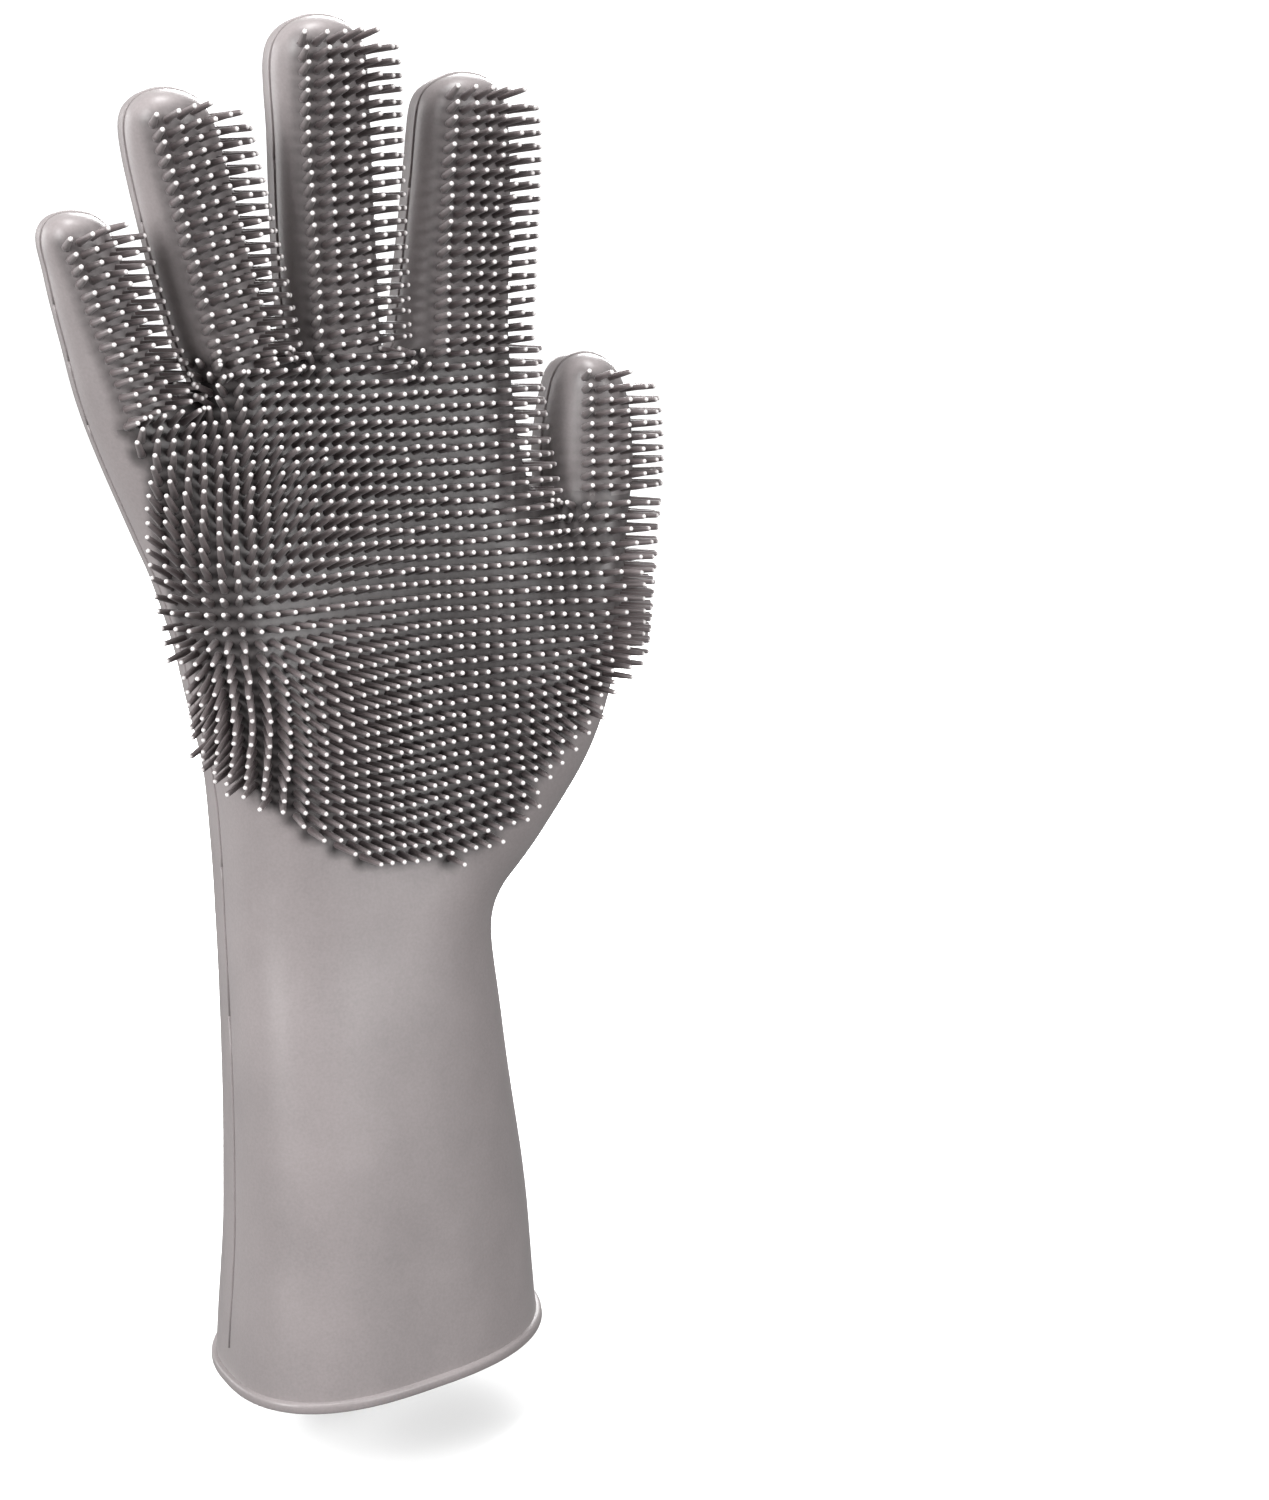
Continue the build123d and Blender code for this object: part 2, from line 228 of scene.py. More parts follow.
def form(x, y, z, fields=None):
    """Implicit form of the outer skin: negative inside, about millimetres near the surface."""
    if fields is None:
        fields = [sample(a, x, z) for a in (S, R, HF, HB, PF, PB, YC)]
    s, r, hf, hb, pf, pb, yc = fields
    d = y - yc
    front = d < 0
    h = np.where(front, hf, hb)
    p = np.where(front, pf, pb)
    q = np.maximum(r - s, 0) / r
    v = np.abs(d) / h
    return (np.power(np.power(q, p) + np.power(v, p), 1 / p) - 1) * np.minimum(r, h)


def gradient(P, e=0.5):
    x, y, z = P.T
    g = np.stack([form(x + e, y, z) - form(x - e, y, z), form(x, y + e, z) - form(x, y - e, z),
                  form(x, y, z + e) - form(x, y, z - e)], 1) / (2 * e)
    return g


def project(P, rounds=3):
    for _ in range(rounds):
        g = gradient(P)
        f = form(*P.T)
        P = P - (f / np.maximum((g * g).sum(1), 1e-6))[:, None] * g
    return P


def normals(P):
    g = gradient(P)
    return g / np.maximum(np.linalg.norm(g, axis=1), 1e-9)[:, None]


def nets(h, lo, hi):
    """Quads of the form's zero surface on a grid of step h."""
    xs, ys, zs = (np.arange(a, b + h / 2, h) for a, b in zip(lo, hi))
    X, Z = np.meshgrid(xs, zs, indexing="ij")
    plan = [sample(a, X, Z)[:, None, :] for a in (S, R, HF, HB, PF, PB, YC)]
    V = form(X[:, None, :], ys[None, :, None], Z[:, None, :], plan)
    neg = V < 0
    nx, ny, nz = V.shape
    count = np.zeros((nx - 1, ny - 1, nz - 1))
    acc = np.zeros((nx - 1, ny - 1, nz - 1, 3))
    quads = []
    for axis in range(3):
        a = [slice(None)] * 3
        b = [slice(None)] * 3
        a[axis], b[axis] = slice(0, -1), slice(1, None)
        na, nb, va, vb = neg[tuple(a)], neg[tuple(b)], V[tuple(a)], V[tuple(b)]
        idx = np.argwhere(na != nb)
        t = va[tuple(idx.T)] / (va[tuple(idx.T)] - vb[tuple(idx.T)])
        pos = idx.astype(float)
        pos[:, axis] += t
        o1, o2 = [(1, 2), (2, 0), (0, 1)][axis]
        cells = []
        for d1, d2 in ((0, 0), (-1, 0), (-1, -1), (0, -1)):
            c = idx.copy()
            c[:, o1] += d1
            c[:, o2] += d2
            cells.append(c)
        ok = np.ones(len(idx), bool)
        for c in cells:
            for k, n in enumerate((nx - 1, ny - 1, nz - 1)):
                ok &= (c[:, k] >= 0) & (c[:, k] < n)
        for c in cells:
            good = np.all((c >= 0) & (c < [nx - 1, ny - 1, nz - 1]), axis=1)
            np.add.at(count, tuple(c[good].T), 1)
            np.add.at(acc, tuple(c[good].T), pos[good])
        q = np.stack([np.ravel_multi_index(tuple(c[ok].T), count.shape) for c in cells], 1)
        flip = na[tuple(idx[ok].T)]
        q[~flip] = q[~flip][:, ::-1]
        quads.append(q)
    quads = np.vstack(quads)
    used, inv = np.unique(quads, return_inverse=True)
    quads = inv.reshape(quads.shape)
    P = (acc.reshape(-1, 3)[used] / count.reshape(-1)[used, None]) * h + np.array([xs[0], ys[0], zs[0]])
    return P, quads


# ---- the skin ---------------------------------------------------------------------------------------------------
STEP = 1.4
P, F = nets(STEP, (-88.0, -46.0, -4.2), (80.0, 46.0, 352.0))
P = project(P, 4)
N = normals(P)


def axis_of(g):
    u = np.array([g["sx"], g["sy"], 1.0])
    return u / np.linalg.norm(u)


def axis_at(g, z):
    return np.array([g["ref"][0] + g["sx"] * (z - g["ref"][2]), g["ref"][1] + g["sy"] * (z - g["ref"][2]), z])


def zone_of(C):
    """Zone label of each point: cuff, wrist, palm, or DIGIT_SEGMENT."""
    label = np.full(len(C), "palm", dtype=object)
    label[C[:, 2] < WRIST[1] + 1.0] = "wrist"
    label[C[:, 2] < WRIST[0] - 1.0] = "cuff"
    for name, g in DIGITS.items():
        u = axis_of(g)
        lateral = np.abs(C[:, 0] - (g["ref"][0] + g["sx"] * (C[:, 2] - g["ref"][2])))
        near = lateral < g["reach"]
        for k, seg in enumerate(g["names"]):
            lo = g["zones"][k][0] - (0.0 if k == 0 else 0.5 * (g["zones"][k][0] - g["zones"][k - 1][1]))
            t = (C - axis_at(g, lo)) @ u
            label[near & (t > 0)] = f"{name}_{seg}"
    return label


WRIST = (98.0, 134.0)
made = []


def srgb(r, g, b):
    return tuple(((c / 255 + 0.055) / 1.055) ** 2.4 if c / 255 > 0.04045 else c / 255 / 12.92 for c in (r, g, b))


def mesh_object(name, verts, faces, vnormals=None, attributes=None, flat=None):
    """Mesh object from millimetre arrays.  faces is a list of (n, k) integer arrays."""
    me = bpy.data.meshes.new(name)
    total = sum(len(f) for f in faces)
    loops = np.concatenate([f.ravel() for f in faces]).astype(np.int32)
    sizes = np.concatenate([np.full(len(f), f.shape[1]) for f in faces]).astype(np.int32)
    me.vertices.add(len(verts))
    me.vertices.foreach_set("co", (np.asarray(verts, float) / 1000).astype(np.float32).ravel())
    me.loops.add(len(loops))
    me.loops.foreach_set("vertex_index", loops)
    me.polygons.add(total)
    me.polygons.foreach_set("loop_start", np.concatenate([[0], np.cumsum(sizes)[:-1]]).astype(np.int32))
    me.polygons.foreach_set("loop_total", sizes)
    me.update(calc_edges=True)
    me.validate()
    me.polygons.foreach_set("use_smooth", np.ones(len(me.polygons), bool))
    for key, value in (attributes or {}).items():
        a = me.attributes.new(key, "FLOAT", "POINT")
        a.data.foreach_set("value", np.asarray(value, np.float32))
    if vnormals is not None:
        me.normals_split_custom_set_from_vertices(np.asarray(vnormals, float).tolist())
    o = bpy.data.objects.new(name, me)
    bpy.context.collection.objects.link(o)
    made.append(o)
    return o


def place(o, zone):
    """Ride with the zone's body for the cuff, tab and palm; wrist and digit pieces are baked in place."""
    if zone in ("cuff", "tab"):
        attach(o, zone)
    elif zone == "palm":
        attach(o, "hand")
    elif zone == "wrist":
        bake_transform(o)
    else:
        name, seg = zone.split("_")
        g = DIGITS[name]
        k = g["names"].index(seg)
        s, e = g["zones"][k]
        tuple(axis_at(g, s) / 1000)
        tuple(axis_at(g, e) / 1000)
        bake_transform(o)


# ---- materials ----------------------------------------------------------------------------------------------------
def node(nt, kind, **values):
    n = nt.nodes.new(kind)
    for k, v in values.items():
        setattr(n, k, v)
    return n


def silicone(name, dark, light, rough, tip=None, field=None):
    """Satin moulded silicone: faint cloudy colour, fine skin grain, slight flow marks; tip paints a highlight on the
    free ends, and field paints shade on the skin among the bristles.
    """
    m = bpy.data.materials.new(name)
    m.use_nodes = True
    nt = m.node_tree
    b = nt.nodes["Principled BSDF"]
    tc = node(nt, "ShaderNodeTexCoord")
    cloud = node(nt, "ShaderNodeTexNoise")
    cloud.inputs["Scale"].default_value = 28.0
    cloud.inputs["Detail"].default_value = 4.0
    cloud.inputs["Roughness"].default_value = 0.6
    nt.links.new(tc.outputs["Object"], cloud.inputs["Vector"])
    ramp = node(nt, "ShaderNodeValToRGB")
    ramp.color_ramp.elements[0].position, ramp.color_ramp.elements[1].position = 0.3, 0.72
    ramp.color_ramp.elements[0].color = (*dark, 1)
    ramp.color_ramp.elements[1].color = (*light, 1)
    nt.links.new(cloud.outputs["Fac"], ramp.inputs["Fac"])
    colour = ramp.outputs["Color"]
    speck = node(nt, "ShaderNodeTexNoise")
    speck.inputs["Scale"].default_value = 1400.0
    speck.inputs["Detail"].default_value = 2.0
    nt.links.new(tc.outputs["Object"], speck.inputs["Vector"])
    fleck = node(nt, "ShaderNodeMapRange")
    fleck.inputs["From Min"].default_value, fleck.inputs["From Max"].default_value = 0.3, 0.7
    fleck.inputs["To Min"].default_value, fleck.inputs["To Max"].default_value = 0.95, 1.05
    nt.links.new(speck.outputs["Fac"], fleck.inputs["Value"])
    mul = node(nt, "ShaderNodeVectorMath", operation="SCALE")
    nt.links.new(colour, mul.inputs[0])
    nt.links.new(fleck.outputs["Result"], mul.inputs["Scale"])
    colour = mul.outputs["Vector"]
    # tip: a painted highlight, a near-white cap on the end of each bristle
    if tip is not None:
        at = node(nt, "ShaderNodeAttribute", attribute_name="reach")
        tr = node(nt, "ShaderNodeValToRGB")
        tr.color_ramp.elements[0].position, tr.color_ramp.elements[1].position = 0.0, 1.0
        tr.color_ramp.elements[0].color = (0, 0, 0, 1)
        tr.color_ramp.elements[1].color = (1, 1, 1, 1)
        e = tr.color_ramp.elements.new(0.93)
        e.color = (0.08, 0.08, 0.08, 1)
        nt.links.new(at.outputs["Fac"], tr.inputs["Fac"])
        mix = node(nt, "ShaderNodeMix", data_type="RGBA")
        nt.links.new(tr.outputs["Color"], mix.inputs["Factor"])
        nt.links.new(colour, mix.inputs["A"])
        mix.inputs["B"].default_value = (*tip, 1)
        colour = mix.outputs["Result"]
    # field: painted shade, darkening the colour down to the given factor where the skin lies among the bristles
    if field is not None:
        at = node(nt, "ShaderNodeAttribute", attribute_name="field")
        fr = node(nt, "ShaderNodeMapRange")
        fr.inputs["To Min"].default_value, fr.inputs["To Max"].default_value = 1.0, field
        nt.links.new(at.outputs["Fac"], fr.inputs["Value"])
        fs = node(nt, "ShaderNodeVectorMath", operation="SCALE")
        nt.links.new(colour, fs.inputs[0])
        nt.links.new(fr.outputs["Result"], fs.inputs["Scale"])
        colour = fs.outputs["Vector"]
    nt.links.new(colour, b.inputs["Base Color"])
    rr = node(nt, "ShaderNodeMapRange")
    rr.inputs["To Min"].default_value, rr.inputs["To Max"].default_value = rough - 0.05, rough + 0.06
    nt.links.new(cloud.outputs["Fac"], rr.inputs["Value"])
    nt.links.new(rr.outputs["Result"], b.inputs["Roughness"])
    grain = node(nt, "ShaderNodeTexNoise")
    grain.inputs["Scale"].default_value = 900.0
    grain.inputs["Detail"].default_value = 3.0
    nt.links.new(tc.outputs["Object"], grain.inputs["Vector"])
    bp = node(nt, "ShaderNodeBump")
    bp.inputs["Strength"].default_value = 0.12
    bp.inputs["Distance"].default_value = 0.0002
    nt.links.new(grain.outputs["Fac"], bp.inputs["Height"])
    nt.links.new(bp.outputs["Normal"], b.inputs["Normal"])
    b.inputs["IOR"].default_value = 1.42
    b.inputs["Sheen Weight"].default_value = 0.15
    b.inputs["Sheen Roughness"].default_value = 0.5
    return m


# field=0.30 paints shade on the skin among the bristles, down to 30 per cent of its colour
SKIN = silicone("skin_silicone_painted_shade", srgb(128, 122, 122), srgb(139, 132, 132), 0.40, field=0.30)
# The bristles are the same silicone as the skin: their darker colour is painted shade, and the pale tip colour is a
# painted highlight.
BRIS = silicone("bristle_silicone", srgb(88, 78, 79), srgb(99, 89, 89), 0.42, tip=srgb(232, 228, 227))

# ---- skin pieces: outer wall, inner wall, and the lip that joins them at each zone's edge ----------------------------
FC = P[F].mean(1)
labels = zone_of(FC)
below = P[F][:, :, 2].min(1) < -0.01
nodes_of = {
    "cuff": ["cuff_front_wall", "cuff_back_wall"],
    "wrist": ["wrist_crease"],
    "palm": ["palm_shell", "back_of_hand_shell"],
}
for d, g in DIGITS.items():
    for k, seg in enumerate(g["names"]):
        nodes_of[f"{d}_{seg}"] = [f"{d}_{seg}_stall", f"{d}_{'knuckle' if k == 0 else seg}_crease"]
# pull the lowest ring of skin on to the rim plane
low = P[:, 2] < STEP * 0.5
keep_face = ~(P[F][:, :, 2].max(1) < STEP * 0.5)
P[low, 2] = 0.0
skins = []
for zone, stand_for in nodes_of.items():
    f = F[(labels == zone) & keep_face]
    used, inv = np.unique(f, return_inverse=True)
    f = inv.reshape(f.shape)
    v, n = P[used], N[used]
    k = len(v)
    edges = np.concatenate([f[:, [i, (i + 1) % 4]] for i in range(4)])
    key = np.minimum(edges[:, 0], edges[:, 1]) * k + np.maximum(edges[:, 0], edges[:, 1])
    u, first, cnt = np.unique(key, return_index=True, return_counts=True)
    rim_edges = edges[first[cnt == 1]]
    inner = v - n * WALL
    inner[:, 2] = np.maximum(inner[:, 2], 0.0)
    lip = np.stack([rim_edges[:, 1], rim_edges[:, 0], rim_edges[:, 0] + k, rim_edges[:, 1] + k], 1)
    o = mesh_object(f"skin_{zone}", np.vstack([v, inner]), [f, f[:, ::-1] + k, lip], np.vstack([n, -n]))
    o.data.materials.append(SKIN)
    skins.append((o, v))
    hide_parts(*stand_for)
    place(o, zone)


# ---- points on the front or back of the skin --------------------------------------------------------------------------
def on_skin(x, z, front):
    """Point of the skin over (x, z) on the front (bristled) or back side, and its normal."""
    s, r, hf, hb, pf, pb, yc = [sample(a, x, z) for a in (S, R, HF, HB, PF, PB, YC)]
    h, p = (hf, pf) if front else (hb, pb)
    q = np.clip(np.maximum(r - s, 0) / r, 0, 0.995)
    y = h * np.power(1 - np.power(q, p), 1 / p)
    pts = np.stack([x, yc - y if front else yc + y, z], 1)
    pts = project(pts, 2)
    return pts, normals(pts)


def revolve_pieces(pts, dirs, profile, sides):
    """Many small turned forms at once: profile is [(radius, height)], the last with radius 0 is a single point."""
    m = len(pts)
    ref = np.where(np.abs(dirs[:, 2:3]) < 0.9, np.array([[0.0, 0.0, 1.0]]), np.array([[1.0, 0.0, 0.0]]))
    a = np.cross(dirs, ref)
    a /= np.linalg.norm(a, axis=1)[:, None]
    b = np.cross(dirs, a)
    th = np.arange(sides) * 2 * math.pi / sides
    rings = []
    for rad, hgt in profile[:-1]:
        ring = (pts[:, None, :] + dirs[:, None, :] * hgt + rad * (np.cos(th)[None, :, None] * a[:, None, :]
                                                                 + np.sin(th)[None, :, None] * b[:, None, :]))
        rings.append(ring)
    V = np.stack(rings, 1).reshape(m, -1, 3)
    cap = pts + dirs * profile[-1][1]
    V = np.concatenate([V, cap[:, None, :]], 1)
    per = V.shape[1]
    nr = len(profile) - 1
    quads, tris = [], []
    for i in range(nr - 1):
        for j in range(sides):
            k = (j + 1) % sides
            quads.append([i * sides + j, i * sides + k, (i + 1) * sides + k, (i + 1) * sides + j])
    for j in range(sides):
        k = (j + 1) % sides
        tris.append([(nr - 1) * sides + j, (nr - 1) * sides + k, per - 1])
    base = [list(range(sides))[::-1]]
    off = (np.arange(m) * per)[:, None, None]
    Q = (np.array(quads)[None] + off).reshape(-1, 4)
    T = (np.array(tris)[None] + off).reshape(-1, 3)
    B = (np.array(base)[None] + off).reshape(-1, sides)
    return V.reshape(-1, 3), [Q, T, B], per


rng = np.random.default_rng(7)


def row_points(origin, across, arcs, reach=(-30.0, 30.0)):
    """Points spaced by arc length along the front of the skin, on the row through origin (x, z) in direction across."""
    t = np.arange(reach[0], reach[1], 0.1)
    x, z = origin[0] + across[0] * t, origin[1] + across[1] * t
    r, hf, pf, yc = [sample(a, x, z) for a in (R, HF, PF, YC)]
    s = sample(S, x, z)
    q = np.clip(np.maximum(r - s, 0) / r, 0, 1)
    y = yc - hf * np.power(1 - np.power(q, pf), 1 / pf)
    ok = s > 0.05
    mid = int(np.argmin(np.abs(t)))
    if not ok[mid]:
        return np.zeros((0, 3)), np.zeros(0), np.zeros(0)
    lo = mid - int(np.argmin(ok[:mid + 1][::-1])) + 1 if not ok[:mid + 1].all() else 0
    hi = mid + int(np.argmin(ok[mid:])) if not ok[mid:].all() else len(t)
    P3 = np.stack([x, y, z], 1)[lo:hi]
    length = np.concatenate([[0], np.cumsum(np.linalg.norm(np.diff(P3, axis=0), axis=1))])
    length -= length[mid - lo]
    a = np.array([v for v in arcs if length[0] < v < length[-1]])
    if len(a) == 0:
        return np.zeros((0, 3)), a, a
    return np.stack([np.interp(a, length, P3[:, k]) for k in range(3)], 1), a, np.interp(a, length, t[lo:hi])


# bristles -------------------------------------------------------------------------------------------------------------
# arc positions of the columns across each digit, and how far their bristles turn to the thumb's side (deg)
digit_cols = {
    "index": ([-6.6, -3.1, 0.4, 3.9, 7.4, 10.9, 14.2], 4), "middle": ([-7.4, -3.9, -0.4, 3.1, 6.6, 10.1, 13.2], 4),
    "ring": ([-6.0, -2.6, 0.8, 4.2, 7.6, 11.0, 14.0], 6), "little": ([-3.6, -0.2, 3.2, 6.6, 10.0, 13.0], 10),
    "thumb": ([-4.4, -0.9, 2.6, 6.1, 9.6, 13.1, 16.2], 8)}
found = []
for d, g in DIGITS.items():
    arcs, _ = digit_cols[d]
    ax = np.array([g["sx"], 1.0])
    ax /= np.linalg.norm(ax)
    across = np.array([ax[1], -ax[0]])
    top = g["top"] - 6.2
    n = int((top - g["zones"][0][0] + 1.4) / ax[1] / 3.15)
    for i in range(n + 1):
        z = top - i * 3.15 * ax[1]
        o = (g["ref"][0] + g["sx"] * (z - g["ref"][2]), z)
        p, a, t = row_points(o, across, arcs, (-g["reach"], g["reach"]))
        if len(p):
            s = sample(S, p[:, 0], p[:, 2])
            found.append(p[(s > 0.25) | (z < top - 12)] if i else p[s > 2.2])
FAN_AT, FAN_DIR, FAN_REACH = np.array([-42.0, -14.0, 205.0]), np.array([-0.454, -0.858, 0.241]), 34.0
FLOOR_X = [-50, -38, -24, -6, 14, 30, 42, 58, 70]
FLOOR_Z = [171, 158, 146, 138.5, 138, 143, 156, 176, 192]
for z in np.arange(128.0, 267.5, 3.35):
    p, a, t = row_points((5.0, z), np.array([1.0, 0.0]), np.arange(-100.0, 100.0, 3.5), (-90.0, 90.0))
    if not len(p):
        continue
    p[:, 2] += 0.0040 * (p[:, 0] - 3) ** 2 * smooth((200 - z) / 60)
    s = sample(S, p[:, 0], p[:, 2])
    yc = sample(YC, p[:, 0], p[:, 2])
    from_left = p[:, 0] - float(np.interp(z, gz, left))
    keep = (s > 0.25) & (from_left > np.interp(z, [150, 165, 212, 228, 240], [2.0, 0.3, 0.3, 4.0, 6.0])) & (p[:, 1] < yc - 2.0)
    keep &= z > np.interp(p[:, 0], FLOOR_X, FLOOR_Z)
    for d, g in DIGITS.items():
        lateral = np.abs(p[:, 0] - (g["ref"][0] + g["sx"] * (p[:, 2] - g["ref"][2])))
        keep &= ~((lateral < g["reach"]) & (p[:, 2] > g["zones"][0][0] + 0.6 + lateral * abs(g["sx"]) * 0.5))
    found.append(p[keep])
bp = np.vstack(found)
bp = bp + rng.normal(0, 0.08, bp.shape)
bp = project(bp, 2)
bn = normals(bp)
blabel = zone_of(bp)
turn = np.full(len(bp), 5.0)
for d, g in DIGITS.items():
    turn[np.array([str(b).startswith(d) for b in blabel])] = digit_cols[d][1]
turn = np.radians(turn)
lean = -(0.16 + 0.24 * smooth((-6 - bp[:, 0]) / 22)) * smooth((162 - bp[:, 2]) / 26)
lean -= 0.35 * smooth((bp[:, 0] - 24) / 24) * smooth((196 - bp[:, 2]) / 34)
dirs = np.stack([bn[:, 0] * np.cos(turn) - bn[:, 1] * np.sin(turn), bn[:, 0] * np.sin(turn) + bn[:, 1] * np.cos(turn), bn[:, 2]], 1)
# all the shafts of one digit stand nearly the same way
on_digit = np.array([str(b) not in ("palm", "wrist", "cuff") for b in blabel])
drawn = np.array([0.06, -1.0, 0.0])
dirs[on_digit] = 0.6 * dirs[on_digit] + 0.4 * drawn
flat = np.hypot(dirs[:, 0], dirs[:, 1])
dirs[:, :2] /= np.maximum(flat, 1e-6)[:, None]
dirs[:, 2] = -(0.116 * dirs[:, 0] + 0.22 * dirs[:, 1])
for d, g in DIGITS.items():
    on = np.array([str(b).startswith(d) for b in blabel])
    dirs[on, 2] += 0.09 * smooth((bp[on, 2] - (g["top"] - 12.0)) / 9.0)
dirs[~on_digit, 2] = 0.8 * dirs[~on_digit, 2] + 0.15 * bn[~on_digit, 2] + lean[~on_digit]
# the rows part and fan out round the heel of the palm on the little finger's side
off = bp - FAN_AT
w = np.exp(-(np.linalg.norm(off, axis=1) / FAN_REACH) ** 2)[:, None]
w[np.array([str(b) not in ("palm", "wrist") for b in blabel])] = 0
dirs = dirs * (1 - w) + w * (FAN_DIR + off / 26.0)
dirs += rng.normal(0, 0.02, bn.shape)
dirs /= np.linalg.norm(dirs, axis=1)[:, None]
# painted shade: the skin between the bristles is painted darker, most on the palm and wrist
tree = KDTree(len(bp))
for i, pt in enumerate(bp):
    tree.insert(pt, i)
tree.balance()
for o, v in skins:
    near = np.array([tree.find(pt)[2] for pt in v])
    a = o.data.attributes.new("field", "FLOAT", "POINT")
    a.data.foreach_set("value", np.concatenate([(1 - smooth((near - 1.6) / 3.0)) * (1.0 if o.name in ("skin_palm", "skin_wrist") else 0.55), np.zeros(len(v))]).astype(np.float32))
prof = [(1.10, -0.5), (0.98, 0.35), (0.88, 2.2), (0.78, BRISTLE * 0.62), (0.67, BRISTLE - 0.9), (0.62, BRISTLE - 0.42), (0.40, BRISTLE - 0.10), (0.0, BRISTLE)]
for zone in nodes_of:
    m = blabel == zone
    if not m.any():
        continue
    V, faces, per = revolve_pieces(bp[m], dirs[m], prof, 8)
    sides = 8
    # reach runs from root to tip and places the painted highlight on the bristle ends
    reach = np.concatenate([np.repeat([max(h, 0) / BRISTLE for _, h in prof[:-1]], sides), [1.0]])
    o = mesh_object(f"bristles_{zone}", V, faces, None, {"reach": np.tile(reach, m.sum())})
    o.data.materials.append(BRIS)
    if zone == "palm":
        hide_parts("palm_bristles")
    elif zone not in ("wrist", "cuff"):
        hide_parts(f"{zone}_bristles")
    place(o, zone)

# dots -----------------------------------------------------------------------------------------------------------------
points = []
q = []
for i, z in enumerate(np.arange(150.0, 350.0, 2.1)):
    for x in np.arange(-92.0, 92.0, 4.2):
        q.append((x + (2.1 if i % 2 else 0.0), z))
q = np.array(q)
s = sample(S, q[:, 0], q[:, 1])
floor_z = np.interp(q[:, 0], [-60, -40, -25, 0, 22, 38, 55, 70], [156, 153, 153.5, 158, 167, 178, 203, 225])
keep = (s > 4.2) & (q[:, 1] > floor_z)
q = q[keep]
dp, dn = on_skin(q[:, 0], q[:, 1], False)
ok = dn[:, 1] > 0.35
dp, dn = dp[ok], dn[ok]
dot_prof = [(1.22, -0.25), (1.18, 0.12), (1.0, 0.50), (0.62, 0.74), (0.0, 0.84)]
dlabel = zone_of(dp)
for zone in nodes_of:
    m = dlabel == zone
    if not m.any():
        continue
    V, faces, per = revolve_pieces(dp[m], dn[m], dot_prof, 8)
    o = mesh_object(f"dots_{zone}", V, faces)
    o.data.materials.append(SKIN)
    place(o, zone)


# parting line: a fine raised bead round the edge of the moulding ----------------------------------------------------------
def tube(points, radius, sides, closed=False, up=None):
    """Round bead along points."""
    p = np.asarray(points, float)
    n = len(p)
    t = np.gradient(p, axis=0) if not closed else np.roll(p, -1, 0) - np.roll(p, 1, 0)
    t /= np.linalg.norm(t, axis=1)[:, None]
    if up is None:
        up = np.array([0.0, 1.0, 0.0])
    a = np.cross(t, up)
    a /= np.maximum(np.linalg.norm(a, axis=1), 1e-9)[:, None]
    b = np.cross(t, a)
    th = np.arange(sides) * 2 * math.pi / sides
    r = np.broadcast_to(radius, (n,))
    V = (p[:, None, :] + r[:, None, None] * (np.cos(th)[None, :, None] * a[:, None, :] + np.sin(th)[None, :, None] * b[:, None, :])).reshape(-1, 3)
    q = []
    for i in range(n if closed else n - 1):
        i2 = (i + 1) % n
        for j in range(sides):
            k = (j + 1) % sides
            q.append([i * sides + j, i * sides + k, i2 * sides + k, i2 * sides + j])
    faces = [np.array(q)]
    if not closed:
        faces += [np.array([list(range(sides))[::-1]]), np.array([list(range((n - 1) * sides, n * sides))])]
    return V, faces


run = catmull(OUTLINE, 4)
run = run[(run[:, 1] > 5.0) | (np.arange(len(run)) > 20)]
run = run[run[:, 1] > 5.0]
edge_pts = np.stack([run[:, 0], sample(YC, run[:, 0], run[:, 1]) - 1.0, run[:, 1]], 1)
for _ in range(6):
    g = gradient(edge_pts)
    g[:, 1] = 0
    f = form(*edge_pts.T)
    edge_pts = edge_pts - np.clip(f / np.maximum((g * g).sum(1), 0.05), -1.5, 1.5)[:, None] * g
    edge_pts[:, 1] = sample(YC, edge_pts[:, 0], edge_pts[:, 2]) - 1.0
el = zone_of(edge_pts)
start = 0
parts_of = {}
for i in range(1, len(el) + 1):
    if i == len(el) or el[i] != el[start]:
        seg = edge_pts[start:min(i + 1, len(el))]
        if len(seg) > 2:
            parts_of.setdefault(el[start], []).append(seg)
        start = i
for zone, segs in parts_of.items():
    Vs, Fs, off = [], [], 0
    for seg in segs:
        V, faces = tube(seg, 0.42, 6)
        Vs.append(V)
        Fs += [f + off for f in faces]
        off += len(V)
    o = mesh_object(f"parting_line_{zone}", np.vstack(Vs), Fs)
    o.data.materials.append(SKIN)
    place(o, zone)


# rim bead ---------------------------------------------------------------------------------------------------------------
def section(z, n):
    """n points round the skin's section at height z, and their outward normals in plan."""
    cx = float(np.interp(z, gz, centre_x))
    th = np.arange(n) * 2 * math.pi / n
    lo, hi = np.full(n, 5.0), np.full(n, 70.0)
    for _ in range(40):
        mid = (lo + hi) / 2
        x, y = cx + mid * np.cos(th), mid * np.sin(th)
        out = form(x, y, np.full(n, z)) > 0
        hi, lo = np.where(out, mid, hi), np.where(out, lo, mid)
    pts = np.stack([cx + lo * np.cos(th), lo * np.sin(th), np.full(n, z)], 1)
    nn = np.roll(pts, -1, 0) - np.roll(pts, 1, 0)
    nn = np.stack([nn[:, 1], -nn[:, 0], np.zeros(n)], 1)
    nn /= np.linalg.norm(nn, axis=1)[:, None]
    return pts, nn


def collar(profile, n=240):
    """Closed ring from (outward offset, height) profile points."""
    rings = []
    for off, z in profile:
        pts, nn = section(max(z, 0.5), n)
        pts = pts + nn * off
        pts[:, 2] = z
        rings.append(pts)
    V = np.stack(rings, 1).reshape(-1, 3)
    m = len(profile)
    q = []
    for i in range(n):
        i2 = (i + 1) % n
        for j in range(m):
            k = (j + 1) % m
            q.append([i * m + j, i2 * m + j, i2 * m + k, i * m + k])
    return V, [np.array(q)]


